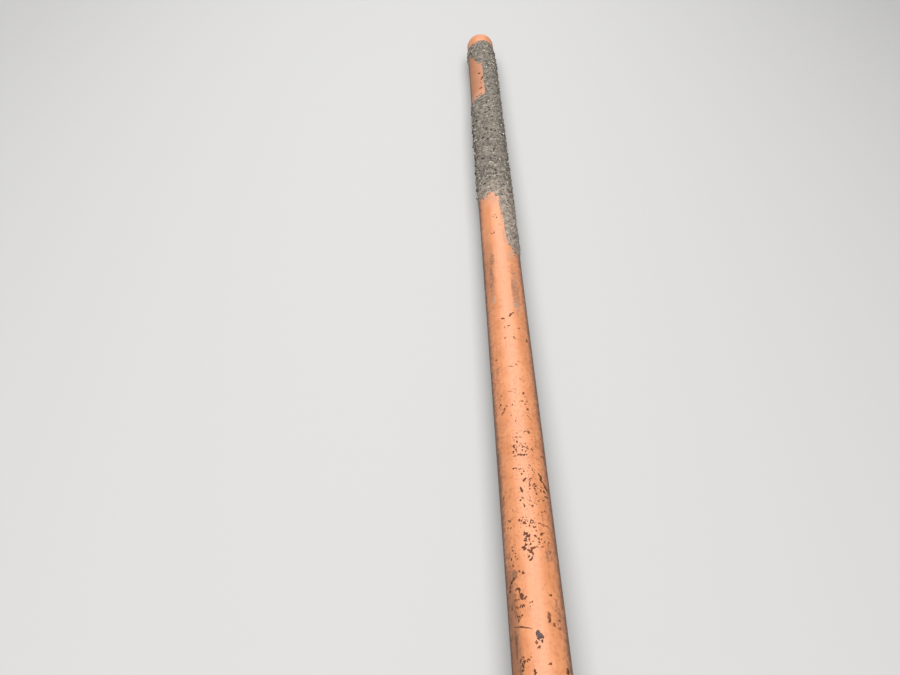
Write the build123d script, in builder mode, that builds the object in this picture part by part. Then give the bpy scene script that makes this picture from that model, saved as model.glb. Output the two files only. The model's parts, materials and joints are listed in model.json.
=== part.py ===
"""A plastic drain pipe for laying underground, lying on a level floor.

The pipe is one extruded length. One end is heated and formed over a mandrel into a socket with a
groove for a rubber ring, and the other end is a spigot, chamfered so that it slides past the ring of
the next pipe. The socket's mouth looks along -Y and the spigot along +Y. The origin is on the floor,
below the middle of the pipe. Sizes are in millimetres and angles in degrees.
"""
from build123d import *
from math import asin, atan2, cos, radians, sin, tan
import os

# Barrel and spigot
outside_diameter = 110.0
wall = 3.2
laying_length = 3000.0
chamfer_angle = 15.0
chamfer_depth = 1.6

# Socket, from its mouth inwards
socket_clearance = 0.2
socket_wall = 3.0
lead_in_length = 2.0
lead_in_depth = 1.0
lip_round = 0.8
mouth_land = 10.0
groove_depth = 5.8
groove_floor = 9.0
groove_side_angle = 60.0
groove_wall = 3.0
groove_bend = 1.5
engagement_length = 36.0
stop_angle = 25.0
stop_bend = 6.0

# Rubber ring
ring_clearance = 0.3
ring_heel = 2.4
ring_foot_rise = 1.8
lip_squeeze = 2.5
lip_thickness = 1.7
lip_tip_round = 0.6
lip_root_thickness = 2.8
lip_setback = 1.5

# Radii of the barrel and the socket
outside_radius = outside_diameter / 2
bore_radius = outside_radius - wall
socket_bore_radius = outside_radius + socket_clearance
socket_outside_radius = socket_bore_radius + socket_wall
groove_radius = socket_bore_radius + groove_depth
bead_radius = groove_radius + groove_wall

# Places along the pipe, measured from the mouth
groove_side_length = groove_depth / tan(radians(groove_side_angle))
groove_floor_start = mouth_land + groove_side_length
groove_floor_end = groove_floor_start + groove_floor
groove_end = groove_floor_end + groove_side_length
engagement_end = groove_end + engagement_length
stop_end = engagement_end + (socket_bore_radius - bore_radius) / tan(radians(stop_angle))
overall_length = engagement_end + laying_length
chamfer_start = overall_length - chamfer_depth / tan(radians(chamfer_angle))

# A bend in the wall moves the outside's corner along the pipe by this share of the wall
groove_shift = tan(radians(groove_side_angle) / 2)
stop_shift = tan(radians(stop_angle) / 2)

# The pipe rests on its bead and on the spigot's lower edge, so its axis falls a little towards the spigot
bead_bend = groove_bend + groove_wall
bead_rest = groove_floor_end + (groove_wall - bead_bend) * groove_shift
rest_line = Vector(chamfer_start - bead_rest, outside_radius - (bead_radius - bead_bend))
tilt = asin(bead_bend / rest_line.length) - atan2(rest_line.Y, rest_line.X)
axis_height = bead_bend + (bead_radius - bead_bend) * cos(tilt) + bead_rest * sin(tilt)

# In this plane a point is its distance from the mouth, then its distance from the pipe's axis
section = Plane(
    origin=(0, -overall_length / 2 * cos(tilt), axis_height),
    x_dir=(0, cos(tilt), -sin(tilt)),
    z_dir=(1, 0, 0),
)
pipe_axis = Axis(section.origin, section.x_dir)


def turned_outline(corners):
    """Draw a closed outline in the section plane from (distance, radius, rounding) corners."""
    points = [(distance, radius) for distance, radius, rounding in corners]
    roundings = [rounding for distance, radius, rounding in corners]
    FilletPolyline(*points, radius=roundings, close=True)


# Wall of the pipe: the inside from the mouth to the spigot, then the outside back to the mouth
pipe_inside = [
    (0, socket_bore_radius + lead_in_depth, lip_round),
    (lead_in_length, socket_bore_radius, lip_round),
    (mouth_land, socket_bore_radius, bead_bend),
    (groove_floor_start, groove_radius, groove_bend),
    (groove_floor_end, groove_radius, groove_bend),
    (groove_end, socket_bore_radius, bead_bend),
    (engagement_end, socket_bore_radius, stop_bend),
    (stop_end, bore_radius, stop_bend + wall),
    (overall_length, bore_radius, 0),
]
pipe_outside = [
    (overall_length, outside_radius - chamfer_depth, 0),
    (chamfer_start, outside_radius, 0),
    (stop_end + wall * stop_shift, outside_radius, stop_bend),
    (engagement_end + socket_wall * stop_shift, socket_outside_radius, stop_bend + socket_wall),
    (groove_end + groove_wall * groove_shift, socket_outside_radius, groove_bend),
    (groove_floor_end + groove_wall * groove_shift, bead_radius, bead_bend),
    (groove_floor_start - groove_wall * groove_shift, bead_radius, bead_bend),
    (mouth_land - groove_wall * groove_shift, socket_outside_radius, groove_bend),
    (0, socket_outside_radius, lip_round),
]

with BuildPart() as pipe:
    with BuildSketch(section):
        with BuildLine():
            turned_outline(pipe_inside + pipe_outside)
        make_face()
    revolve(axis=pipe_axis)
pipe.part.label = "pipe"

# Rubber ring: a heel that fills the groove, and a lip that slants inwards, away from the mouth
ring_top = groove_radius - ring_clearance
ring_heel_under = ring_top - ring_heel
ring_foot = socket_bore_radius + ring_foot_rise
ring_side_gap = ring_clearance / sin(radians(groove_side_angle))
lip_radius = outside_radius - lip_squeeze
lip_tip = groove_end - lip_setback


def ring_front(radius):
    """Distance from the mouth at which the ring's front follows the groove's side."""
    return mouth_land + (radius - socket_bore_radius) / tan(radians(groove_side_angle)) + ring_side_gap


def ring_back(radius):
    """Distance from the mouth at which the ring's back follows the groove's other side."""
    return groove_end - (radius - socket_bore_radius) / tan(radians(groove_side_angle)) - ring_side_gap


ring_outline = [
    (ring_front(ring_foot), ring_foot, 0),
    (ring_front(ring_top), ring_top, groove_bend),
    (ring_back(ring_top), ring_top, groove_bend),
    (ring_back(ring_heel_under), ring_heel_under, 0),
    (ring_front(ring_heel_under) + lip_root_thickness, ring_heel_under, 0),
    (lip_tip, lip_radius + lip_thickness, lip_tip_round),
    (lip_tip, lip_radius, lip_tip_round),
    (ring_front(ring_foot), socket_bore_radius, 0),
]

with BuildPart() as ring_seal:
    with BuildSketch(section):
        with BuildLine():
            turned_outline(ring_outline)
        make_face()
    revolve(axis=pipe_axis)
ring_seal.part.label = "ring_seal"

os.makedirs("parts", exist_ok=True)
export_step(pipe.part, "parts/pipe.step")
export_step(ring_seal.part, "parts/ring_seal.step")
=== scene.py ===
"""Looks of a plastic underground drain pipe, lying on a level floor, with dried soil on its wall.

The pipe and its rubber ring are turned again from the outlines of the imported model, fine enough for
close views, and the soil that sticks to the wall is modelled on them. Sizes are in metres. A place on
the pipe is its station, the distance from the socket's mouth, and its arc, the distance round the
wall from the top, where right of the top is positive.
"""
import bisect
import json
import random
from math import atan2, cos, degrees, pi, radians, sin, sqrt, tan

import bmesh
import bpy
from mathutils import Matrix, Vector, noise


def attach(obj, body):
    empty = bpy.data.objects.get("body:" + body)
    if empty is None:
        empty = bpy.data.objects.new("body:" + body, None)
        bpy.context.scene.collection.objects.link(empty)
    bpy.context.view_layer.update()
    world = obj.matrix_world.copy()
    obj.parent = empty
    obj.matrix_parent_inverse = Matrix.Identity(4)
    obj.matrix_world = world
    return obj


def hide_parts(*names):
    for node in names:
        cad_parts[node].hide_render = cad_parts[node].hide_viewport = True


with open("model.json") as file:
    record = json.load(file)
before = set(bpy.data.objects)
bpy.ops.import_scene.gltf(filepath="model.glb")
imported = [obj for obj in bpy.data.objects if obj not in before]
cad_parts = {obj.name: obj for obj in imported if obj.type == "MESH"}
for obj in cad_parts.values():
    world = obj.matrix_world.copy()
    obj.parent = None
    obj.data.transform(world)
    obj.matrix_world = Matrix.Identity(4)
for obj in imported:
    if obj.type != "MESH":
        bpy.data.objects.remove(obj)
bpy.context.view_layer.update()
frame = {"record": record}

scene = bpy.context.scene

# The studio: a pale level floor, a long soft lamp over the whole pipe and the photograph's camera. The
# lamp is narrow and the sky round it is weak, so that the pipe's flanks turn dark.
photo_width = 900
photo_height = 675
focal_pixels = 676.0
camera_behind_middle = 1.379
camera_left_of_axis = 0.1734
camera_above_axis = 1.3189
camera_angle_from_plumb = radians(42.35)
camera_turn = radians(-0.844)
floor_side = 120.0
floor_colour = (0.290, 0.286, 0.278, 1)
floor_far_colour = (0.86, 0.85, 0.83, 1)
floor_squeeze = (1.0, 0.45, 0.0)
paling_starts = 2.2
paling_ends = 7.0
lamp_width = 4.4
lamp_length = 13.0
lamp_height = 3.4
lamp_left_of_pipe = 0.35
lamp_power = 800.0
sky_strength = 0.30
sky_colour = (0.93, 0.96, 1.0, 1)

spigot = next(mount for mount in frame["record"]["mounts"] if mount["name"] == "spigot")
pipe_direction = Vector(spigot["axis"]).normalized()
pipe_up = Vector((1, 0, 0)).cross(pipe_direction)
barrel_middle = Vector(spigot["pos_m"])
pipe_middle = barrel_middle - pipe_direction * (barrel_middle.y / pipe_direction.y)
pipe_line = Matrix((Vector((1, 0, 0)), pipe_direction, pipe_up)).transposed().to_4x4()
pipe_line.translation = pipe_middle


def add_object(name, data):
    """Put a new object in the scene."""
    new_object = bpy.data.objects.new(name, data)
    scene.collection.objects.link(new_object)
    return new_object


camera_place = Matrix.Translation((-camera_left_of_axis, -camera_behind_middle, camera_above_axis))
camera_turns = Matrix.Rotation(camera_turn, 4, "Z") @ Matrix.Rotation(camera_angle_from_plumb, 4, "X")
camera_on_line = camera_place @ camera_turns
camera = add_object("camera", bpy.data.cameras.new("camera"))
camera.data.sensor_width = 36.0
camera.data.lens = camera.data.sensor_width * focal_pixels / photo_width
camera.matrix_world = pipe_line @ camera_on_line
scene.camera = camera

lamp = add_object("long_soft_lamp", bpy.data.lights.new("long_soft_lamp", "AREA"))
lamp.data.shape = "RECTANGLE"
lamp.data.size = lamp_width
lamp.data.size_y = lamp_length
lamp.data.energy = lamp_power
lamp.location = (-lamp_left_of_pipe, 0, lamp_height)
lamp.visible_camera = False

sky = bpy.data.worlds.new("sky")
sky.use_nodes = True
background = sky.node_tree.nodes["Background"]
background.inputs["Color"].default_value = sky_colour
background.inputs["Strength"].default_value = sky_strength
scene.world = sky
scene.view_settings.view_transform = "Standard"


def add_node(tree, kind, inputs=None, **properties):
    """Add a node with its properties and inputs. An input that is a socket gets a link."""
    node = tree.nodes.new(kind)
    for name, value in properties.items():
        setattr(node, name, value)
    for name, value in (inputs or {}).items():
        if isinstance(value, bpy.types.NodeSocket):
            tree.links.new(value, node.inputs[name])
        else:
            node.inputs[name].default_value = value
    return node


def object_place(tree):
    """The place of a surface's point on its object."""
    return add_node(tree, "ShaderNodeTexCoord").outputs["Object"]


def fade(tree, value, start, finish, low=0.0, high=1.0):
    """A smooth change from low to high while the value goes from start to finish."""
    inputs = {"Value": value, "From Min": start, "From Max": finish, "To Min": low, "To Max": high}
    return add_node(tree, "ShaderNodeMapRange", inputs, interpolation_type="SMOOTHSTEP").outputs["Result"]


def stretch(tree, vector, factors):
    """The vector, multiplied along each axis."""
    inputs = {0: vector, 1: factors}
    return add_node(tree, "ShaderNodeVectorMath", inputs, operation="MULTIPLY").outputs[0]


def vector_length(tree, vector):
    """The length of the vector."""
    return add_node(tree, "ShaderNodeVectorMath", {0: vector}, operation="LENGTH").outputs["Value"]


def blend_colours(tree, share, first, second):
    """The first colour turning into the second as the share rises."""
    return add_node(tree, "ShaderNodeMix", {0: share, 6: first, 7: second}, data_type="RGBA").outputs[2]


def new_material(name):
    """A new material with its node tree and its shader."""
    material = bpy.data.materials.new(name)
    material.use_nodes = True
    return material, material.node_tree, material.node_tree.nodes["Principled BSDF"]


# The floor gets paler away from the lamp, so that it looks even from every side
floor_paint, tree, floor_shader = new_material("floor_paint")
reach = vector_length(tree, stretch(tree, object_place(tree), floor_squeeze))
paling = fade(tree, reach, paling_starts, paling_ends)
floor_tone = blend_colours(tree, paling, floor_colour, floor_far_colour)
tree.links.new(floor_tone, floor_shader.inputs["Base Color"])
floor_shader.inputs["Roughness"].default_value = 0.9
half_side = floor_side / 2
floor_corners = [
    (-half_side, -half_side, 0),
    (half_side, -half_side, 0),
    (half_side, half_side, 0),
    (-half_side, half_side, 0),
]
floor_mesh = bpy.data.meshes.new("floor")
floor_mesh.from_pydata(floor_corners, [], [(0, 1, 2, 3)])
floor_mesh.materials.append(floor_paint)
add_object("floor", floor_mesh)

# The pipe: one length of orange-brown PVC, extruded with a satin skin. One end is heated and formed
# over a mandrel into the socket with its ring groove, and the spigot is sawn off and chamfered.
outside_radius = 0.055
wall = 0.0032
laying_length = 3.0
chamfer_angle = radians(15)
chamfer_depth = 0.0016
sawn_edge_round = 0.0002
socket_clearance = 0.0002
socket_wall = 0.003
lead_in_length = 0.002
lead_in_depth = 0.001
lip_round = 0.0008
mouth_land = 0.01
groove_depth = 0.0058
groove_floor = 0.009
groove_side_angle = radians(60)
groove_wall = 0.003
groove_bend = 0.0015
engagement_length = 0.036
stop_angle = radians(25)
stop_bend = 0.006

bore_radius = outside_radius - wall
socket_bore_radius = outside_radius + socket_clearance
socket_outside_radius = socket_bore_radius + socket_wall
groove_radius = socket_bore_radius + groove_depth
bead_radius = groove_radius + groove_wall
bead_bend = groove_bend + groove_wall
groove_side_length = groove_depth / tan(groove_side_angle)
groove_floor_start = mouth_land + groove_side_length
groove_floor_end = groove_floor_start + groove_floor
groove_end = groove_floor_end + groove_side_length
engagement_end = groove_end + engagement_length
stop_end = engagement_end + (socket_bore_radius - bore_radius) / tan(stop_angle)
overall_length = engagement_end + laying_length
chamfer_start = overall_length - chamfer_depth / tan(chamfer_angle)
groove_shift = tan(groove_side_angle / 2)
stop_shift = tan(stop_angle / 2)

# Each corner is its station, its distance from the axis and its rounding
pipe_inside = [
    (0, socket_bore_radius + lead_in_depth, lip_round),
    (lead_in_length, socket_bore_radius, lip_round),
    (mouth_land, socket_bore_radius, bead_bend),
    (groove_floor_start, groove_radius, groove_bend),
    (groove_floor_end, groove_radius, groove_bend),
    (groove_end, socket_bore_radius, bead_bend),
    (engagement_end, socket_bore_radius, stop_bend),
    (stop_end, bore_radius, stop_bend + wall),
    (overall_length, bore_radius, sawn_edge_round),
]
pipe_outside = [
    (overall_length, outside_radius - chamfer_depth, sawn_edge_round),
    (chamfer_start, outside_radius, sawn_edge_round),
    (stop_end + wall * stop_shift, outside_radius, stop_bend),
    (engagement_end + socket_wall * stop_shift, socket_outside_radius, stop_bend + socket_wall),
    (groove_end + groove_wall * groove_shift, socket_outside_radius, groove_bend),
    (groove_floor_end + groove_wall * groove_shift, bead_radius, bead_bend),
    (groove_floor_start - groove_wall * groove_shift, bead_radius, bead_bend),
    (mouth_land - groove_wall * groove_shift, socket_outside_radius, groove_bend),
    (0, socket_outside_radius, lip_round),
]
turned_segments = 144
ring_spacing = 0.04
edge_support = 0.0006
arc_step = radians(8)
inside_and_outside_strips = (0.15, 0.15, 0.35, 0.35)
map_margin = 0.015
strip_margin = 0.02
mouth_line = pipe_line @ Matrix.Translation((0, -overall_length / 2, 0))


def rounded_outline(corners):
    """Points of a closed outline, with an arc of the given rounding at each corner."""
    points = []
    for index, (station, radius, rounding) in enumerate(corners):
        corner = Vector((station, radius))
        if rounding == 0:
            points.append(corner)
            continue
        towards_last = (Vector(corners[index - 1][:2]) - corner).normalized()
        towards_next = (Vector(corners[(index + 1) % len(corners)][:2]) - corner).normalized()
        half_angle = towards_last.angle(towards_next) / 2
        turn = pi - 2 * half_angle
        centre = corner + (towards_last + towards_next).normalized() * rounding / sin(half_angle)
        start = corner + towards_last * rounding / tan(half_angle) - centre
        finish = corner + towards_next * rounding / tan(half_angle) - centre
        steps = max(2, round(turn / arc_step))
        for step in range(steps + 1):
            share = step / steps
            spoke = start * sin((1 - share) * turn) + finish * sin(share * turn)
            points.append(centre + spoke.normalized() * rounding)
    return points


def spaced_outline(points):
    """The outline with more points on its straight runs: one close to each end, the rest evenly."""
    spaced = []
    for index, point in enumerate(points):
        run = points[(index + 1) % len(points)] - point
        spaced.append(point)
        if run.length > 4 * edge_support:
            inner = run.length - 2 * edge_support
            pieces = max(1, round(inner / ring_spacing))
            places = [edge_support + inner * piece / pieces for piece in range(pieces + 1)]
            spaced.extend(point + run * (place / run.length) for place in places)
    return spaced


def lay_out_map(mesh, outline, strips):
    """Lay a turned mesh out flat as its texture map, its outline in strips of the given widths."""
    lengths = [0.0]
    for index, point in enumerate(outline):
        lengths.append(lengths[-1] + (outline[(index + 1) % len(outline)] - point).length)
    spread = []
    for row in range(len(outline)):
        ends = [length / lengths[-1] * len(strips) for length in lengths[row:row + 2]]
        strip = min(int(sum(ends) / 2), len(strips) - 1)
        along = [map_margin + (1 - 2 * map_margin) * (end - strip) for end in ends]
        low = sum(strips[:strip]) / sum(strips)
        width = strips[strip] / sum(strips)
        for segment in range(turned_segments):
            for end, step in ((0, 0), (1, 0), (1, 1), (0, 1)):
                share = strip_margin + (1 - 2 * strip_margin) * (segment + step) / turned_segments
                spread.extend((along[end], low + width * share))
    mesh.uv_layers.new(name="OFBake").uv.foreach_set("vector", spread)


def new_mesh(name, points, faces):
    """A smooth mesh of points that are given along and round the pipe's line."""
    mesh = bpy.data.meshes.new(name)
    mesh.from_pydata(points, [], faces)
    mesh.transform(mouth_line)
    mesh.polygons.foreach_set("use_smooth", [True] * len(faces))
    mesh.update()
    return mesh


def turned_mesh(name, outline, strips=(1.0,)):
    """A closed mesh of an outline of (station, radius) points, turned about the pipe's axis."""
    steps = [2 * pi * segment / turned_segments for segment in range(turned_segments)]
    points = [
        (radius * sin(step), station, radius * cos(step))
        for station, radius in outline
        for step in steps
    ]
    faces = []
    for row in range(len(outline)):
        this_row = row * turned_segments
        next_row = (row + 1) % len(outline) * turned_segments
        for segment in range(turned_segments):
            beside = (segment + 1) % turned_segments
            faces.append((this_row + segment, next_row + segment, next_row + beside, this_row + beside))
    mesh = new_mesh(name, points, faces)
    lay_out_map(mesh, outline, strips)
    return mesh


def add_piece(name, mesh, material):
    """Put a finished mesh in the scene as a piece that goes with the pipe."""
    mesh.materials.append(material)
    piece = add_object(name, mesh)
    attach(piece, "root")
    return piece


def barrel_place(across, down):
    """Station and arc on the barrel of a place in the photograph, given in its pixels."""
    across_sensor = (across - photo_width / 2) / focal_pixels
    up_sensor = (photo_height / 2 - down) / focal_pixels
    sight = camera_on_line.to_3x3() @ Vector((across_sensor, up_sensor, -1))
    eye = camera_on_line.translation
    squared = sight.x**2 + sight.z**2
    middle = eye.x * sight.x + eye.z * sight.z
    excess = eye.x**2 + eye.z**2 - outside_radius**2
    reach = (-middle - sqrt(max(middle**2 - squared * excess, 0))) / squared
    hit = eye + sight * reach
    return hit.y + overall_length / 2, outside_radius * atan2(hit.x, hit.z)


def calculate(tree, operation, *values):
    """The result of a Math node."""
    return add_node(tree, "ShaderNodeMath", dict(enumerate(values)), operation=operation).outputs[0]


def product(tree, first, second):
    """The two values multiplied."""
    return calculate(tree, "MULTIPLY", first, second)


def mixture(tree, first, first_share, second, second_share):
    """The sum of two values, each times its share."""
    rest = product(tree, second, second_share)
    return calculate(tree, "MULTIPLY_ADD", first, first_share, rest)


def grain(tree, vector, scale, detail=3.0, roughness=0.55):
    """Noise between about 0.3 and 0.7, with features of about 1/scale metres."""
    inputs = {"Vector": vector, "Scale": scale, "Detail": detail, "Roughness": roughness}
    return add_node(tree, "ShaderNodeTexNoise", inputs).outputs["Fac"]


def new_group(name, inputs, outputs):
    """An empty shader node group with named sockets, and its input and output nodes."""
    group = bpy.data.node_groups.new(name, "ShaderNodeTree")
    for direction, sockets in (("INPUT", inputs), ("OUTPUT", outputs)):
        for socket_name, kind in sockets.items():
            group.interface.new_socket(socket_name, in_out=direction, socket_type="NodeSocket" + kind)
    return group, group.nodes.new("NodeGroupInput").outputs, group.nodes.new("NodeGroupOutput").inputs


def place_group(tree, group, inputs=None):
    """Place a group in a tree, with values or links on its inputs, and return its outputs."""
    return add_node(tree, "ShaderNodeGroup", inputs, node_tree=group).outputs


def paint(tree, shader, colour, roughness, height, bump_distance=0.001):
    """Give a shader its colour and roughness, and a bump from a height."""
    bump = add_node(tree, "ShaderNodeBump", {"Height": height, "Distance": bump_distance})
    tree.links.new(colour, shader.inputs["Base Color"])
    tree.links.new(roughness, shader.inputs["Roughness"])
    tree.links.new(bump.outputs["Normal"], shader.inputs["Normal"])


# Where a point of the wall lies on the pipe: its station, its angle from the top in degrees, right of
# the top positive, and its distance from the axis
pipe_place, _, place_out = new_group(
    "pipe_place", {}, {"Vector": "Vector", "Station": "Float", "Angle": "Float", "Radius": "Float"}
)
line_place = {
    "Vector": object_place(pipe_place),
    "Location": mouth_line.translation,
    "Rotation": mouth_line.to_euler(),
}
on_line = add_node(pipe_place, "ShaderNodeMapping", line_place, vector_type="TEXTURE").outputs["Vector"]
split = add_node(pipe_place, "ShaderNodeSeparateXYZ", {"Vector": on_line}).outputs
turn = calculate(pipe_place, "ARCTAN2", split["X"], split["Z"])
radius = vector_length(pipe_place, stretch(pipe_place, on_line, (1.0, 0.0, 1.0)))
pipe_place.links.new(on_line, place_out["Vector"])
pipe_place.links.new(split["Y"], place_out["Station"])
pipe_place.links.new(calculate(pipe_place, "DEGREES", turn), place_out["Angle"])
pipe_place.links.new(radius, place_out["Radius"])

# Soil that has dried on a surface. Cover is 0 where it is clean and 1 where it is hidden, and between
# them the soil breaks up into ragged spots
dried_soil, soil_in, soil_out = new_group(
    "dried_soil",
    {"Vector": "Vector", "Cover": "Float", "Dark Soil": "Color", "Light Soil": "Color"},
    {"Mask": "Float", "Colour": "Color", "Height": "Float"},
)
soil_lumps = grain(dried_soil, soil_in["Vector"], 170.0, detail=6.0, roughness=0.65)
soil_grit = grain(dried_soil, soil_in["Vector"], 1100.0, detail=3.0, roughness=0.6)
soil_drift = grain(dried_soil, soil_in["Vector"], 22.0, detail=2.0)
raggedness = calculate(dried_soil, "MULTIPLY_ADD", soil_lumps, 1.1, -0.55)
raggedness = calculate(dried_soil, "MULTIPLY_ADD", soil_grit, 0.3, raggedness)
raggedness = calculate(dried_soil, "MULTIPLY_ADD", soil_drift, 0.5, raggedness)
soil_depth = calculate(dried_soil, "SUBTRACT", raggedness, 0.4)
soil_depth = calculate(dried_soil, "ADD", soil_in["Cover"], soil_depth)
soil_mask = fade(dried_soil, soil_depth, 0.4, 0.62)
soil_tone = fade(dried_soil, mixture(dried_soil, soil_grit, 0.7, soil_lumps, 0.6), 0.45, 0.85)
soil_colour = blend_colours(dried_soil, soil_tone, soil_in["Dark Soil"], soil_in["Light Soil"])
soil_height = product(dried_soil, soil_mask, calculate(dried_soil, "ADD", soil_tone, 0.5))
dried_soil.links.new(soil_mask, soil_out["Mask"])
dried_soil.links.new(soil_colour, soil_out["Colour"])
dried_soil.links.new(soil_height, soil_out["Height"])


def soil_on(tree, vector, cover, dark, light):
    """Dried soil of two colours over a surface: its mask, colour and height."""
    inputs = {"Vector": vector, "Cover": cover, "Dark Soil": dark, "Light Soil": light}
    return place_group(tree, dried_soil, inputs)


# A soft oval on the wall, which says where a smear of soil lies. It is 1 at its middle, 0 outside
wall_patch, patch_in, patch_out = new_group(
    "wall_patch",
    {"Station": "Float", "Angle": "Float", "Middle Station": "Float", "Middle Angle": "Float",
     "Half Length": "Float", "Half Angle": "Float"},
    {"Mask": "Float"},
)
off_along = calculate(wall_patch, "SUBTRACT", patch_in["Station"], patch_in["Middle Station"])
off_round = calculate(wall_patch, "SUBTRACT", patch_in["Angle"], patch_in["Middle Angle"])
along_share = calculate(wall_patch, "DIVIDE", off_along, patch_in["Half Length"])
round_share = calculate(wall_patch, "DIVIDE", off_round, patch_in["Half Angle"])
along_squared = calculate(wall_patch, "POWER", along_share, 2.0)
round_squared = calculate(wall_patch, "POWER", round_share, 2.0)
patch_edge = calculate(wall_patch, "ADD", along_squared, round_squared)
wall_patch.links.new(fade(wall_patch, patch_edge, 0.0, 1.0, 1.0, 0.0), patch_out["Mask"])

plastic_deep = (0.358, 0.130, 0.048, 1)
plastic_light = (0.400, 0.156, 0.063, 1)
plastic_scuff = (0.45, 0.25, 0.15, 1)
brown_smudge = (0.215, 0.068, 0.024, 1)
pale_dust = (0.290, 0.210, 0.155, 1)
grey_dust = (0.125, 0.095, 0.075, 1)
brown_stain = (0.130, 0.055, 0.028, 1)
dark_stain = (0.045, 0.022, 0.014, 1)
# Painted shade: a dark brown laid over the flanks, and over the far strip by the spigot
painted_shade_and_grime = (0.062, 0.026, 0.013, 1)
# The painted flank shade, the soil underneath and the smudges are centred this many degrees left of the
# top, where the pipe is brightest
brightest_and_cleanest_left_of_top = 8.0

# Radii and stations between which an effect comes or goes
wall_middle = (0.0532, 0.0538)
haze_rise = (2.50, 2.62)
haze_fall = (2.98, 3.01)
shade_and_grime_fall = (2.99, 3.02)
smudge_fall = (1.50, 1.80)

# Smears of thin soil read off the photograph: pixels of the middle, half length and half angle, cover
dust_in_photo = {
    "grey_smear_on_left": (494, 299.5, 0.028, 8, 0.62),
    "right_flank_residue_far": (515.5, 280, 0.09, 22, 0.46),
    "right_flank_residue_near": (516.5, 302, 0.07, 19, 0.47),
    "beside_the_crust_far": (501, 212, 0.10, 16, 0.55),
    "beside_the_crust_middle": (505, 235, 0.08, 16, 0.52),
    "beside_the_crust_near": (512, 254, 0.05, 22, 0.52),
    "under_the_crust_edge": (490, 200, 0.045, 70, 0.50),
    "beyond_the_crust": (477, 96, 0.05, 60, 0.50),
    "by_the_spigot": (484, 76, 0.20, 18, 0.52),
}
stains_in_photo = {
    "left_flank_mottling": (492, 283, 0.13, 17, 0.54),
    "left_flank_marks": (492, 259, 0.05, 15, 0.56),
    "left_smudge_by_the_crust": (493, 233, 0.03, 12, 0.42),
    "right_limb_haze": (549, 556, 0.03, 18, 0.55),
    "left_limb_far": (508.5, 552, 0.05, 15, 0.52),
    "left_brown_smear": (514.5, 575, 0.016, 11, 0.80),
    "left_film_near": (511.5, 588, 0.06, 14, 0.52),
    "lengthwise_smear_near": (549, 617, 0.016, 5, 0.75),
    "ringed_smear_at_the_edge": (524, 661, 0.016, 9, 0.55),
    "trail_of_the_ringed_smear": (521, 671, 0.02, 8, 0.60),
    "left_limb_brown_smear": (516.5, 646, 0.042, 6, 0.75),
    "left_limb_at_the_edge": (515, 605, 0.05, 10, 0.50),
    "right_flank_at_the_edge": (558, 616, 0.06, 15, 0.50),
    "right_flank_far": (515, 288, 0.16, 21, 0.60),
    "left_flank_middle": (498, 380, 0.16, 15, 0.44),
}
# Ovals of painted shade and grime on the left limb and flank, in the same columns as the smears above
shade_and_grime_in_photo = {
    "left_limb_near": (515, 648, 0.20, 26, 0.55),
    "left_flank_far": (489, 270, 0.20, 26, 0.30),
}

orange_plastic, tree, plastic_shader = new_material("orange_plastic")
place = place_group(tree, pipe_place)
wall_vector = place["Vector"]
outside_wall = fade(tree, place["Radius"], *wall_middle)
side_angle = calculate(tree, "ABSOLUTE", calculate(tree, "ADD", place["Angle"], brightest_and_cleanest_left_of_top))

# Dust lies thinly all over, painted shade darkens the flanks in ragged streaks, the far strip is
# darkened, and soil sticks to the underside
drift = grain(tree, wall_vector, 9.0, detail=3.0)
thin_dust = fade(tree, drift, 0.35, 0.75, 0.02, 0.2)
film = grain(tree, wall_vector, 90.0, detail=6.0, roughness=0.75)
drifting_angle = calculate(tree, "MULTIPLY_ADD", drift, -16.0, calculate(tree, "ADD", side_angle, 38.0))
drifting_angle = calculate(tree, "MULTIPLY_ADD", film, -60.0, drifting_angle)
under_cover = fade(tree, drifting_angle, 95.0, 140.0, 0.0, 0.62)
# Painted shade on the flanks, ragged where the noise moves its edge
flank_painted_shade = fade(tree, drifting_angle, 47.0, 78.0, 0.0, 0.86)
haze_start = fade(tree, place["Station"], *haze_rise, 0.0, 0.42)
haze_end = fade(tree, place["Station"], *haze_fall, 1.0, 0.0)
far_haze = product(tree, haze_start, haze_end)


def patched_cover(cover, patches):
    """The cover with soft ovals added, each (across, down, half length, half angle, strength)."""
    for across, down, half_length, half_angle, strength in patches.values():
        station, arc = barrel_place(across, down)
        patch_values = {
            "Station": place["Station"],
            "Angle": place["Angle"],
            "Middle Station": station,
            "Middle Angle": degrees(arc / outside_radius),
            "Half Length": half_length,
            "Half Angle": half_angle,
        }
        patch = place_group(tree, wall_patch, patch_values)["Mask"]
        cover = calculate(tree, "MAXIMUM", cover, product(tree, patch, strength))
    return cover


cover = patched_cover(calculate(tree, "MAXIMUM", thin_dust, under_cover), dust_in_photo)
cover = product(tree, cover, fade(tree, place["Radius"], *wall_middle, 0.5, 1.0))
soil = soil_on(tree, wall_vector, cover, grey_dust, pale_dust)
stain_cover = patched_cover(fade(tree, drift, 0.5, 0.8, 0.0, 0.25), stains_in_photo)
stain_cover = product(tree, stain_cover, outside_wall)
stain = soil_on(tree, wall_vector, stain_cover, dark_stain, brown_stain)
# Painted shade and grime: the flanks, the ovals and the far strip, fading at the spigot's end
shade_and_grime_mask = patched_cover(calculate(tree, "MAXIMUM", flank_painted_shade, far_haze), shade_and_grime_in_photo)
spigot_end = fade(tree, place["Station"], *shade_and_grime_fall, 1.0, 0.3)
shade_and_grime_mask = product(tree, shade_and_grime_mask, product(tree, outside_wall, spigot_end))

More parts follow.
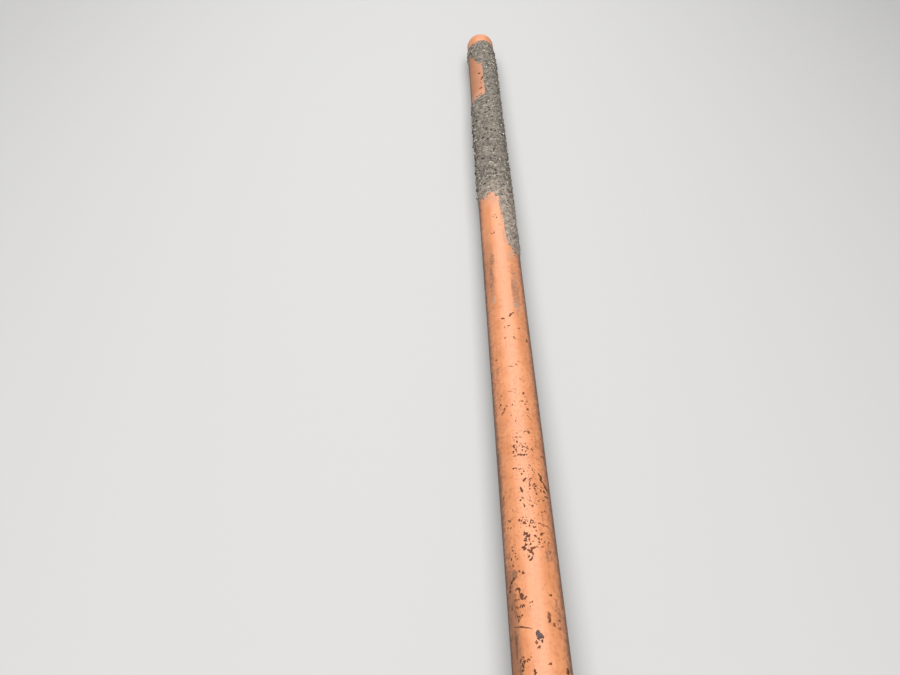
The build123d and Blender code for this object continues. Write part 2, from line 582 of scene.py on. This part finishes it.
# The plastic: lengthwise streaks from the die, a mottled satin skin and fine scratches from handling
streaks = grain(tree, stretch(tree, wall_vector, (1.0, 0.02, 1.0)), 240.0, detail=2.0)
mottling = grain(tree, wall_vector, 26.0, detail=4.0)
skin_tone = mixture(tree, streaks, 0.35, mottling, 0.65)
skin = blend_colours(tree, fade(tree, skin_tone, 0.38, 0.62), plastic_deep, plastic_light)
scratch_lines = grain(tree, stretch(tree, wall_vector, (1.0, 0.035, 1.0)), 310.0, detail=1.0)
scratch_offset = calculate(tree, "ABSOLUTE", calculate(tree, "SUBTRACT", scratch_lines, 0.5))
scratch_places = fade(tree, grain(tree, wall_vector, 14.0, detail=2.0), 0.52, 0.66)
scratches = product(tree, fade(tree, scratch_offset, 0.006, 0.0), scratch_places)
scuffed = blend_colours(tree, product(tree, scratches, 0.55), skin, plastic_scuff)
smudges = fade(tree, grain(tree, wall_vector, 110.0, detail=5.0, roughness=0.7), 0.50, 0.62)
smudges = product(tree, smudges, fade(tree, side_angle, 15.0, 60.0, 0.30, 0.75))
smudges = product(tree, smudges, fade(tree, place["Station"], *smudge_fall, 1.0, 0.35))
smudges = product(tree, smudges, outside_wall)
smudged = blend_colours(tree, smudges, scuffed, brown_smudge)
waves = grain(tree, stretch(tree, wall_vector, (1.0, 0.35, 1.0)), 22.0, detail=1.0)
fine_skin = grain(tree, wall_vector, 1500.0, detail=2.0)

wall_height = mixture(tree, fine_skin, 0.012, waves, 0.10)
wall_height = calculate(tree, "MULTIPLY_ADD", scratches, -0.02, wall_height)
wall_height = calculate(tree, "MULTIPLY_ADD", soil["Height"], 0.16, wall_height)
skin_roughness = fade(tree, mottling, 0.3, 0.7, 0.42, 0.52)
plastic_shader.inputs["IOR"].default_value = 1.54
plastic_shader.inputs["Specular IOR Level"].default_value = 0.5
stained = blend_colours(tree, product(tree, stain["Mask"], 0.7), smudged, stain["Colour"])
# The painted shade and grime darken the plastic
shaded_and_grimy = blend_colours(tree, shade_and_grime_mask, stained, painted_shade_and_grime)
dusty = blend_colours(tree, product(tree, soil["Mask"], 0.72), shaded_and_grimy, soil["Colour"])
dull = calculate(tree, "MAXIMUM", shade_and_grime_mask, calculate(tree, "MAXIMUM", soil["Mask"], stain["Mask"]))
dull_roughness = calculate(tree, "MULTIPLY_ADD", dull, 0.42, skin_roughness)
paint(tree, plastic_shader, dusty, dull_roughness, wall_height)

wall_outline = spaced_outline(rounded_outline(pipe_inside + pipe_outside))
pipe_mesh = turned_mesh("drain_pipe", wall_outline, inside_and_outside_strips)
pipe = add_piece("drain_pipe", pipe_mesh, orange_plastic)
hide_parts("pipe")

# The ring seal: a loose moulded rubber ring, pressed into the socket's groove by hand. Its heel fills
# the groove, and its lip slants inwards, where an inserted spigot spreads it.
ring_clearance = 0.0003
ring_heel = 0.0024
ring_foot_rise = 0.0018
lip_squeeze = 0.0025
lip_thickness = 0.0017
lip_tip_round = 0.0006
lip_root_thickness = 0.0028
lip_setback = 0.0015
ring_edge_round = 0.0003

ring_top = groove_radius - ring_clearance
ring_heel_under = ring_top - ring_heel
ring_foot = socket_bore_radius + ring_foot_rise
ring_side_gap = ring_clearance / sin(groove_side_angle)
lip_radius = outside_radius - lip_squeeze
lip_tip = groove_end - lip_setback


def ring_front(radius):
    """Station at which the ring's front follows the groove's side."""
    return mouth_land + (radius - socket_bore_radius) / tan(groove_side_angle) + ring_side_gap


def ring_back(radius):
    """Station at which the ring's back follows the groove's other side."""
    return groove_end - (radius - socket_bore_radius) / tan(groove_side_angle) - ring_side_gap


ring_corners = [
    (ring_front(ring_foot), socket_bore_radius, ring_edge_round),
    (lip_tip, lip_radius, lip_tip_round),
    (lip_tip, lip_radius + lip_thickness, lip_tip_round),
    (ring_front(ring_heel_under) + lip_root_thickness, ring_heel_under, ring_edge_round),
    (ring_back(ring_heel_under), ring_heel_under, ring_edge_round),
    (ring_back(ring_top), ring_top, groove_bend),
    (ring_front(ring_top), ring_top, groove_bend),
    (ring_front(ring_foot), ring_foot, ring_edge_round),
]
rubber_dark = (0.012, 0.012, 0.013, 1)
rubber_bloom = (0.035, 0.034, 0.034, 1)
ring_dust_dark = (0.06, 0.048, 0.038, 1)
ring_dust_light = (0.20, 0.165, 0.135, 1)

seal_rubber, tree, rubber_shader = new_material("seal_rubber")
place = place_group(tree, pipe_place)
bloom = grain(tree, place["Vector"], 60.0, detail=4.0)
mould_grain = grain(tree, place["Vector"], 2400.0, detail=2.0)
upwards = calculate(tree, "COSINE", calculate(tree, "RADIANS", place["Angle"]))
ring_cover = calculate(tree, "MULTIPLY_ADD", upwards, -0.22, 0.3)
soil = soil_on(tree, place["Vector"], ring_cover, ring_dust_dark, ring_dust_light)
rubber_colour = blend_colours(tree, fade(tree, bloom, 0.4, 0.65), rubber_dark, rubber_bloom)
ring_dust = product(tree, soil["Mask"], 0.7)
dusty_rubber = blend_colours(tree, ring_dust, rubber_colour, soil["Colour"])
clean_roughness = fade(tree, bloom, 0.35, 0.7, 0.48, 0.64)
rubber_roughness = calculate(tree, "MULTIPLY_ADD", soil["Mask"], 0.3, clean_roughness)
rubber_height = mixture(tree, mould_grain, 0.03, soil["Height"], 0.1)
paint(tree, rubber_shader, dusty_rubber, rubber_roughness, rubber_height)

ring_mesh = turned_mesh("lip_ring", spaced_outline(rounded_outline(ring_corners)))
lip_ring = add_piece("lip_ring", ring_mesh, seal_rubber)
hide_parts("ring_seal")

# The soil crust: sandy clay that has stuck to the far part of the barrel and dried there, 1 to 5 mm
# thick and ragged. The spigot is clean as far as it goes into a socket.
crust_step = 0.003
crust_sink = 0.0005
crust_thickness = 0.0033
crust_slope = 0.03
crust_thinning = 0.0005
lump_width = 0.022
lump_height = 0.0026
grit_width = 0.006
grit_height = 0.0026
grit_shift = Vector((7, 3, 1))
clean_beside_engagement = 0.026
crust_end = overall_length - engagement_length - clean_beside_engagement
crust_left = radians(-112)
crust_right = radians(150)
near_edge_in_photo = [
    (479.8, 201), (484, 197.3), (488, 194.3), (491.6, 193.4), (495.5, 196.3), (499, 200.7), (502, 205),
    (503.5, 215), (504, 225), (505.5, 232), (507.5, 238), (509, 245), (512, 250), (517, 255),
    (520.5, 258),
]
far_edge_in_photo = [(471.5, 104.5), (474.5, 100.5), (478, 97), (482, 94), (485.5, 91)]
spigot_edge_in_photo = [(469.8, 58), (473, 58.6), (477, 62.5), (480, 64), (483.3, 64.5)]
clod_dark = (0.031, 0.024, 0.018, 1)
# The pale tone of the far crust is damper and darker, which also paints shade there
clod_light_damp_and_shaded = (0.168, 0.146, 0.118, 1)
clod_dry = (0.240, 0.195, 0.154, 1)
clod_sand = (0.300, 0.255, 0.200, 1)
clay_dampens_and_shades = (1.93, 2.03)

outside_points = rounded_outline(pipe_outside + [(0, 0, 0), (overall_length, 0, 0)])
outside_profile = sorted(tuple(point) for point in outside_points if point.y > bore_radius)


def follow(line, place):
    """Value at a place of a line of (place, value) points in order, level beyond its ends."""
    after = bisect.bisect(line, place, key=lambda point: point[0])
    after = min(max(after, 1), len(line) - 1)
    (low, low_value), (high, high_value) = line[after - 1], line[after]
    share = (place - low) / (high - low) if high > low else 0.0
    return low_value + (high_value - low_value) * min(max(share, 0.0), 1.0)


def wall_point(station, arc, lift):
    """A point that stands off the outside wall by the lift, on the pipe's line."""
    turn = arc / outside_radius
    radius = follow(outside_profile, station) + lift
    return Vector((radius * sin(turn), station, radius * cos(turn)))


def barrel_path(pixels):
    """Places on the barrel of a line of places in the photograph."""
    return [barrel_place(across, down) for across, down in pixels]


def edge_from_photo(pixels):
    """The edge's (turn, station) places in order, from its places in the photograph."""
    return sorted((arc / outside_radius, station) for station, arc in barrel_path(pixels))


near_edge = edge_from_photo(near_edge_in_photo)
far_edge = edge_from_photo(far_edge_in_photo)
spigot_edge = edge_from_photo(spigot_edge_in_photo)


def crust_lift(station, turn):
    """Height of the crust over the wall, below zero where the wall is bare."""
    reach = station - follow(near_edge, turn)
    past_far_edge = follow(far_edge, turn) - station
    if turn < far_edge[-1][0]:
        reach = min(reach, max(past_far_edge, station - follow(spigot_edge, turn)))
    reach = min(reach, crust_end - station)
    reach = min(reach, (turn - crust_left) * outside_radius, (crust_right - turn) * outside_radius)
    spot = wall_point(station, turn * outside_radius, 0)
    lumps = noise.fractal(spot / lump_width, 1.0, 2.0, 4)
    grit = noise.fractal(spot / grit_width + grit_shift, 0.8, 2.0, 3)
    body = crust_thickness * min(max(reach / crust_slope, -1.0), 1.0)
    return body + lump_height * lumps + grit_height * grit - crust_thinning


def crust_mesh(name):
    """A closed mesh of the crust, with its underside sunk into the wall."""
    first_station = min(station for turn, station in near_edge) - crust_slope
    length = crust_end - first_station
    spread = crust_right - crust_left
    rows = round(length / crust_step)
    columns = round(spread * outside_radius / crust_step)
    stations = [first_station + length * row / rows for row in range(rows + 1)]
    turns = [crust_left + spread * column / columns for column in range(columns + 1)]
    lifts = [[crust_lift(station, turn) for turn in turns] for station in stations]
    kept = set()
    for row in range(rows):
        for column in range(columns):
            if max(lifts[row][column:column + 2] + lifts[row + 1][column:column + 2]) > 0:
                kept.add((row, column))
    points, faces = [], []
    numbers = {}

    def number(row, column, top):
        """The point's number, made at its first use."""
        if (row, column, top) not in numbers:
            lift = max(lifts[row][column], -crust_sink / 2) if top else -crust_sink
            numbers[(row, column, top)] = len(points)
            points.append(wall_point(stations[row], turns[column] * outside_radius, lift))
        return numbers[(row, column, top)]

    for row, column in sorted(kept):
        loop = [(row, column), (row, column + 1), (row + 1, column + 1), (row + 1, column)]
        faces.append([number(*corner, True) for corner in loop])
        faces.append([number(*corner, False) for corner in reversed(loop)])
        beyond = [(row - 1, column), (row, column + 1), (row + 1, column), (row, column - 1)]
        for side, neighbour in enumerate(beyond):
            if neighbour not in kept:
                first, second = loop[side], loop[(side + 1) % 4]
                wall_side = [(*second, True), (*first, True), (*first, False), (*second, False)]
                faces.append([number(*corner) for corner in wall_side])
    return new_mesh(name, points, faces)


sandy_clay, tree, clay_shader = new_material("sandy_clay")
place = place_group(tree, pipe_place)
clay_place = place["Vector"]
clay_lumps = grain(tree, clay_place, 62.0, detail=6.0, roughness=0.75)
clay_grit = grain(tree, clay_place, 150.0, detail=6.0, roughness=0.8)
sand = fade(tree, grain(tree, clay_place, 650.0, detail=1.0), 0.60, 0.66)
clay_tone = mixture(tree, clay_grit, 0.6, clay_lumps, 0.6)
# The far part of the crust darkens: damper clay with painted shade in it
drier_and_unshaded = fade(tree, place["Station"], *clay_dampens_and_shades, 1.0, 0.0)
pale_clay_shaded_far = blend_colours(tree, drier_and_unshaded, clod_light_damp_and_shaded, clod_dry)
clay_tone = calculate(tree, "MULTIPLY_ADD", drier_and_unshaded, 0.02, clay_tone)
clay_colour = blend_colours(tree, fade(tree, clay_tone, 0.52, 0.70), clod_dark, pale_clay_shaded_far)
clay_colour = blend_colours(tree, product(tree, sand, 0.7), clay_colour, clod_sand)
clay_roughness = fade(tree, clay_lumps, 0.3, 0.7, 0.8, 1.0)
clay_height = mixture(tree, clay_grit, 1.0, sand, 0.25)
paint(tree, clay_shader, clay_colour, clay_roughness, clay_height, bump_distance=0.0018)
add_piece("soil_crust", crust_mesh("soil_crust"), sandy_clay)

# The grit: small stones that came with the soil and are bedded in its crust. They are rounded pieces
# of flint and limestone of 3 to 11 mm.
stones_in_crust = {
    "pale_grit": (1040, 0.0074, (0.105, 0.090, 0.073, 1), (0.350, 0.305, 0.245, 1)),
    "dark_grit": (1000, 0.0074, (0.008, 0.006, 0.005, 1), (0.055, 0.045, 0.038, 1)),
}
stone_sizes = (0.6, 1.22)
stone_widths = (0.6, 0.9)
stone_heights = (0.45, 0.75)
stone_unevenness = 0.28
stone_lumps = 2.2
seed_spread = 900
stone_bedding = 0.5
stone_sink = 0.0022
stones_start = 1.80
stones_thicken_over = 0.25
crust_under_stones = 0.0009


def stones_mesh(name, number, size, dice):
    """Rounded, uneven stones of about one size, set at random in the crust and clear of the bore."""
    ball = bmesh.new()
    bmesh.ops.create_icosphere(ball, subdivisions=2, radius=0.5)
    ball_points = [point.co.copy() for point in ball.verts]
    ball_faces = [[point.index for point in face.verts] for face in ball.faces]
    ball.free()
    points, faces = [], []
    while len(points) < number * len(ball_points):
        station = dice.uniform(stones_start, crust_end)
        turn = dice.uniform(crust_left, crust_right)
        lift = crust_lift(station, turn)
        if lift < crust_under_stones or dice.random() * stones_thicken_over > station - stones_start:
            continue
        scale = size * dice.uniform(*stone_sizes) ** 2
        spin_angle = dice.uniform(0, 2 * pi)
        spin = Matrix.Rotation(spin_angle, 3, Vector([dice.gauss(0, 1) for axis in range(3)]))
        squash = Vector((1.0, dice.uniform(*stone_widths), dice.uniform(*stone_heights)))
        seed = Vector((station, turn, lift)) * seed_spread
        stone = []
        for point in ball_points:
            uneven = 1 + stone_unevenness * noise.noise(point * stone_lumps + seed)
            stone.append(spin @ (point * squash) * scale * uneven)
        outwards = Vector((sin(turn), 0, cos(turn)))
        underside = min(point.dot(outwards) for point in stone)
        centre_lift = max(lift - scale * stone_bedding / 2, -stone_sink - underside)
        centre = wall_point(station, turn * outside_radius, centre_lift)
        faces.extend([len(points) + corner for corner in face] for face in ball_faces)
        points.extend(centre + point for point in stone)
    return new_mesh(name, points, faces)


dice = random.Random(19)
for name, (number, size, dark, light) in stones_in_crust.items():
    stone, tree, stone_shader = new_material(name)
    spot = object_place(tree)
    tone = mixture(tree, grain(tree, spot, 120.0, detail=0.0), 0.8, grain(tree, spot, 1600.0), 0.3)
    stone_shader.inputs["Roughness"].default_value = 0.85
    stone_colour = blend_colours(tree, fade(tree, tone, 0.35, 0.75), dark, light)
    tree.links.new(stone_colour, stone_shader.inputs["Base Color"])
    add_piece(name, stones_mesh(name, number, size, dice), stone)

# The mud flecks: splashes and crumbs of dark wet soil that dried where they landed, with the long
# scrape and the hooked smears that the photograph shows. Each is a thin closed dome on the wall.
mud_dark = (0.038, 0.014, 0.007, 1)
mud_brown = (0.150, 0.052, 0.020, 1)
fleck_sink = 0.0002
section_step = 0.0011
splash_scatter = (0.005, 0.004)
splash_widths = (0.0012, 0.0026)
splash_height = 0.0003
scratch_height = 0.0005
most_splashes = 3

# Points across a fleck and the raggedness of its edges, for those up to a width and for wider ones
wide_fleck = 0.006
fine_edges = (5, 0.75)
wide_edges = (9, 0.45)

# Shares of a fleck's width, or of its length at its ends
fleck_reach = (0.35, 0.75)
fleck_sway = 0.35
fleck_bumpiness = 0.9
fleck_taper = 0.6
fleck_roundness = 0.7
end_margin = 0.04

# Crumbs along a mark, as shares of its width
crumb_spacing = 0.6
crumb_jitter = (-0.4, 0.4)
crumb_scatter = 0.22
crumb_sizes = (0.5, 1.12)
crumb_heights = (0.12, 0.24)

# Each mark is its width, then the pixels of the places that it runs through
flecks_in_photo = {
    "by_the_spigot": [
        (0.010, (479, 73.3)), (0.008, (482.8, 76), (481.4, 79.6)), (0.007, (479.8, 88.6), (482.2, 87)),
        (0.007, (476.2, 97), (479, 95.2), (481.8, 93)), (0.004, (474, 67)), (0.004, (480.5, 82.5)),
    ],
    "beside_the_crust": [
        (0.006, (493.5, 216.5)), (0.005, (496.5, 217.5)), (0.004, (499, 224)),
        (0.004, (491, 233.5), (495, 232.5)), (0.003, (494, 215), (496, 214)),
    ],
    "far_third": [
        (0.006, (511.5, 312), (510.5, 316)), (0.006, (503.5, 318.5)), (0.005, (508.5, 325.5)),
        (0.004, (505, 327)), (0.005, (518.5, 328)), (0.006, (514.5, 338)), (0.006, (526.5, 340.5)),
        (0.004, (505, 338)), (0.005, (496.5, 360)), (0.005, (518.5, 361.5)), (0.004, (516.5, 364.5)),
        (0.003, (508, 366.5), (514, 366.5)), (0.004, (515, 389)), (0.003, (508, 391.5), (511, 391.5)),
        (0.006, (523, 393)), (0.004, (501.5, 396)), (0.005, (522, 401)), (0.005, (527, 402)),
    ],
    "middle": [
        (0.006, (501.5, 404.5)), (0.005, (507, 406.5)), (0.004, (525, 404)), (0.004, (512, 405)),
        (0.005, (527, 409)), (0.0048, (505, 408.5), (502, 415)), (0.004, (511, 415)),
        (0.004, (528, 416), (531, 419)), (0.004, (516, 421)),
        (0.003, (524, 432), (527, 430.5), (529.5, 432)), (0.004, (516, 437), (521.5, 437)),
        (0.004, (513.5, 440)), (0.004, (517, 441.5)), (0.005, (513, 446), (515, 449), (514, 452)),
        (0.004, (517, 447), (516, 451)), (0.003, (520, 443), (523, 446), (527, 448)),
        (0.0055, (518, 455), (522, 454.3), (526, 454.5)), (0.004, (515, 455.5)), (0.005, (532, 449.5)),
        (0.003, (519, 445)), (0.003, (524.8, 443.4)), (0.003, (522, 447.5), (523.5, 446.6)),
        (0.003, (527.4, 446.8), (528.3, 448.7)), (0.003, (522, 450)),
        (0.003, (525, 452), (526.5, 450.8)), (0.005, (528.5, 432.3)), (0.003, (517.3, 432.7)),
        (0.003, (531, 439.2)), (0.004, (535, 446)), (0.003, (540, 456), (543, 458)),
    ],
    "middle_cluster": [
        (0.005, (529, 465)), (0.004, (513, 468.5), (517, 468.5)), (0.005, (519.5, 469)),
        (0.005, (521.5, 473.5)), (0.004, (524, 471)), (0.004, (532, 469), (534, 472)),
        (0.006, (524.5, 480)), (0.004, (531, 478), (529.5, 482), (530, 486)), (0.004, (530, 489)),
        (0.004, (534, 484), (536, 486), (534.5, 490)), (0.006, (521, 488), (523, 492)),
        (0.005, (536.5, 494)), (0.005, (522.5, 498)), (0.004, (521, 500)), (0.005, (538.5, 501)),
        (0.004, (504, 498)), (0.005, (524, 506)), (0.004, (531, 505), (533, 507)),
        (0.003, (530, 497.7)), (0.003, (529.7, 500.7), (531, 501)), (0.003, (536.6, 503.8)),
        (0.003, (533, 486), (533.5, 484), (535, 484)), (0.003, (535.5, 488.5)), (0.003, (522.8, 497.3)),
        (0.004, (542, 512)), (0.004, (544.5, 511)), (0.004, (541, 488)), (0.005, (540.8, 491.5)),
        (0.005, (544, 492.3)), (0.005, (544.9, 496.5), (548, 498.5)), (0.004, (543.4, 500.8)),
    ],
    "near_third": [
        (0.0045, (523.3, 517), (522.3, 520), (522.6, 522.3), (524.5, 523.2), (525.6, 520.5)),
        (0.005, (518.7, 520.7)),
        (0.003, (530, 521), (532, 519.8), (534, 521.5), (532, 523.3), (530.3, 521.5)),
        (0.0035, (538, 523), (543, 525), (548, 527)), (0.005, (529.5, 526.5)),
        (0.004, (533, 527), (536, 527)), (0.005, (510, 521)), (0.005, (508, 527.5)),
        (0.004, (511, 528.5)), (0.006, (525, 533), (528, 536), (526, 540)),
        (0.005, (530, 534), (529, 541)), (0.005, (535.5, 536)), (0.004, (538, 539), (541, 539)),
        (0.004, (539, 542)), (0.004, (534, 542)), (0.005, (530.5, 544.5)),
        (0.004, (541, 535), (545, 533)), (0.004, (544.5, 542)), (0.004, (549, 543.5)),
        (0.005, (526, 545)), (0.006, (524, 547), (529, 550), (535, 548)),
        (0.005, (529, 550), (532, 553)), (0.004, (532.5, 554)), (0.003, (536, 530.7)),
        (0.0052, (528, 556), (528.4, 559), (530.5, 560.3), (532.4, 559), (532.6, 556.8)),
        (0.003, (542.8, 546.4)), (0.003, (537.4, 546.4)), (0.003, (550.5, 551), (550.6, 554)),
    ],
    "left_specks": [
        (0.004, (512, 547)), (0.004, (513, 551)), (0.004, (515.5, 553.5)), (0.005, (511.5, 558.5)),
        (0.004, (515, 557.5)), (0.004, (517.5, 559)), (0.004, (513, 566)), (0.005, (514, 579)),
        (0.005, (523.5, 574)), (0.004, (519, 571)), (0.005, (513.9, 579.1), (511.4, 583.3)),
        (0.006, (510.2, 586.3), (510, 591.7)), (0.004, (512.6, 564.8), (513.9, 566.9)),
    ],
    "at_the_edge": [
        (0.0035, (530, 602.5), (532.5, 601.8)), (0.004, (515.8, 595)),
        (0.003, (515, 600.4), (519.5, 599.5)), (0.004, (524, 604.5)), (0.004, (520, 606), (524, 607)),
        (0.007, (550.5, 595)), (0.004, (518, 616), (520, 618), (519, 621)),
        (0.004, (522, 615), (520, 618)), (0.006, (554.5, 625)), (0.006, (559.5, 621)),
        (0.005, (560, 628)), (0.006, (536.8, 642)), (0.005, (537.5, 643)),
        (0.0042, (521, 662.5), (521.5, 659), (524, 657.5)),
        (0.0055, (525, 661.5), (528, 660.5), (530, 657.5)), (0.005, (517.3, 607.5)),
        (0.006, (512.5, 608.4)), (0.003, (522, 664), (525.5, 662.5)), (0.005, (543, 642)),
        (0.005, (539.5, 647)), (0.0055, (523, 665), (523, 670)), (0.006, (536, 671.5), (536, 674)),
        (0.006, (550.5, 663.5)), (0.0075, (568, 672)),
    ],
}
scratches_in_photo = {
    "long_scrape": (0.0085, (537.6, 472.5), (540, 476.6), (541.2, 481), (543, 484)),
    "tail_of_the_scrape": (0.0075, (541.4, 481), (544.6, 486), (546.5, 490), (548.6, 495)),
    "dark_start_of_the_hook": (0.0062, (515.3, 592.3), (517.4, 588.9), (519.7, 590), (520.2, 593.5)),
    "right_tip_of_the_hook": (0.0058, (523.6, 599), (525.4, 598), (526.8, 595.4)),
    "hooked_clump": (0.0105, (520.2, 592.6), (522, 596), (523.8, 599.4)),
    "lengthwise_smear": (0.0078, (549.2, 611.8), (549.4, 616), (549.8, 620.5), (548.2, 623)),
    "cross_scratch": (0.0036, (513.5, 626.8), (523, 627.4), (533.5, 628.8)),
    "rub_by_the_left_limb": (0.0028, (518, 634), (517, 641), (517.5, 648)),
}


def path_runs(places):
    """Lengths of the straight runs between a path's places."""
    return [(later - earlier).length for earlier, later in zip(places, places[1:])]


def along_path(places, share):
    """The place at a share of a path's length, and the heading there."""
    runs = path_runs(places)
    if not runs:
        return places[0], Vector((1, 0))
    left = share * sum(runs)
    run = 0
    while run < len(runs) - 1 and left > runs[run]:
        left -= runs[run]
        run += 1
    heading = (places[run + 1] - places[run]).normalized()
    return places[run] + heading * left, heading


def add_fleck(points, faces, path, width, height, dice):
    """Add a closed dome of mud, along a path of (station, arc) places, to a mesh's points and faces."""
    if len(path) == 1:
        heading = dice.uniform(0, pi)
        reach = width * dice.uniform(*fleck_reach)
        start = (path[0][0] - reach * cos(heading), path[0][1] - reach * sin(heading))
        path = [start, (2 * path[0][0] - start[0], 2 * path[0][1] - start[1])]
    places = [Vector(place) for place in path]
    sections = max(4, round(sum(path_runs(places)) / section_step))
    columns, ragged = fine_edges if width < wide_fleck else wide_edges
    first_point = len(points)
    wander = dice.uniform(0, 100)
    for section in range(sections + 1):
        share = section / sections
        spot, heading = along_path(places, share)
        across = Vector((-heading.y, heading.x))
        ends = sin(pi * min(max(share, end_margin), 1 - end_margin)) ** fleck_taper
        sway = noise.noise(Vector((share * 3, wander, 2))) * width * fleck_sway
        for column in range(columns):
            side = -1 + 2 * column / (columns - 1)
            edge_place = Vector((share * sections * 0.45, wander, 5 if side > 0 else 9))
            edge = 1 + ragged * noise.noise(edge_place)
            away = side * edge * ends * width / 2 + sway
            bumpy = 1 + fleck_bumpiness * noise.noise(Vector((column, share * 7, wander)))
            dome = (1 - side * side) ** fleck_roundness * ends * bumpy
            place = spot + across * away
            points.append(wall_point(place.x, place.y, (height + fleck_sink) * dome - fleck_sink))
    for section in range(sections):
        this_row = first_point + section * columns
        next_row = this_row + columns
        for column in range(columns):
            beside = (column + 1) % columns
            faces.append((this_row + column, this_row + beside, next_row + beside, next_row + column))
    faces.append(tuple(first_point + column for column in reversed(range(columns))))
    faces.append(tuple(first_point + sections * columns + column for column in range(columns)))


def add_crumbs(points, faces, path, width, dice):
    """Add a broken line of crumbs of mud, along a path of (station, arc) places."""
    places = [Vector(place) for place in path]
    crumbs = 2 + round(sum(path_runs(places)) / (width * crumb_spacing))
    for crumb in range(crumbs):
        share = (crumb + dice.uniform(*crumb_jitter)) / (crumbs - 1)
        spot = along_path(places, min(max(share, 0.0), 1.0))[0]
        scatter = width * crumb_scatter
        spot = spot + Vector((dice.gauss(0, scatter), dice.gauss(0, scatter)))
        size = width * dice.uniform(*crumb_sizes)
        add_fleck(points, faces, [tuple(spot)], size, size * dice.uniform(*crumb_heights), dice)


def mud_material(name, low, high):
    """Dried mud between two colours: each fleck has its own tone, with a fine grit on it."""
    material, tree, shader = new_material(name)
    spot = object_place(tree)
    crumbs = grain(tree, spot, 55.0, detail=1.0)
    tone = mixture(tree, crumbs, 0.7, grain(tree, spot, 600.0, detail=4.0), 0.5)
    colour = blend_colours(tree, fade(tree, tone, 0.45, 0.78), low, high)
    roughness = fade(tree, tone, 0.4, 0.8, 0.72, 0.95)
    paint(tree, shader, colour, roughness, grain(tree, spot, 1300.0, detail=3.0), bump_distance=0.0004)
    shader.inputs["Specular IOR Level"].default_value = 0.2
    return material


dice = random.Random(110)
points, faces = [], []
for marks in flecks_in_photo.values():
    for width, *pixels in marks:
        path = barrel_path(pixels)
        add_crumbs(points, faces, path, width, dice)
        for splash in range(dice.randint(0, most_splashes)):
            beside = [place + dice.gauss(0, spread) for place, spread in zip(path[0], splash_scatter)]
            add_fleck(points, faces, [beside], dice.uniform(*splash_widths), splash_height, dice)
for width, *pixels in scratches_in_photo.values():
    add_fleck(points, faces, barrel_path(pixels), width, scratch_height, dice)
fleck_mud = mud_material("dark_mud", mud_dark, mud_brown)
add_piece("mud_flecks", new_mesh("mud_flecks", points, faces), fleck_mud)

# The clods: two lumps of slate-coloured clay, up to 2 mm high, that dropped on the barrel while they
# were wet and dried there.
mud_slate = (0.125, 0.084, 0.078, 1)
mud_slate_dark = (0.055, 0.032, 0.028, 1)
clod_steepness = 0.2
clods_in_photo = {
    "slate_clump": (0.011, (537.5, 630), (539, 635), (538.5, 640)),
    "slate_clump_side": (0.008, (541, 636), (544, 638)),
}

points, faces = [], []
for width, *pixels in clods_in_photo.values():
    add_fleck(points, faces, barrel_path(pixels), width, width * clod_steepness, dice)
clod_mud = mud_material("slate_mud", mud_slate_dark, mud_slate)
add_piece("mud_clods", new_mesh("mud_clods", points, faces), clod_mud)

# The specks: fine spatter of thin mud, dried on the wall. Three in ten lie in one splash on top of the
# barrel, and the rest are scattered over its whole length, apart from the underside.
mud_thin = (0.200, 0.072, 0.030, 1)
scattered_specks = 1500
splashed_share = 0.3
splashed_stations = (0.75, 1.18)
splashed_middle = radians(12)
splashed_spread = radians(24)
splashed_widths = (0.0012, 0.0027)
speck_stations = (0.004, 3.0)
speck_turns = (radians(-150), radians(150))
narrowest_speck = 0.0008
mean_growth = 0.0006
widest_speck = 0.0034
speck_heights = (0.12, 0.25)

points, faces = [], []
for speck in range(scattered_specks):
    if dice.random() < splashed_share:
        station = dice.uniform(*splashed_stations)
        turn = dice.gauss(splashed_middle, splashed_spread)
        width = dice.uniform(*splashed_widths)
    else:
        station = dice.uniform(*speck_stations)
        turn = dice.uniform(*speck_turns)
        width = min(narrowest_speck + dice.expovariate(1 / mean_growth), widest_speck)
    place = (station, turn * outside_radius)
    add_fleck(points, faces, [place], width, width * dice.uniform(*speck_heights), dice)
speck_mud = mud_material("thin_mud", mud_brown, mud_thin)
add_piece("mud_specks", new_mesh("mud_specks", points, faces), speck_mud)
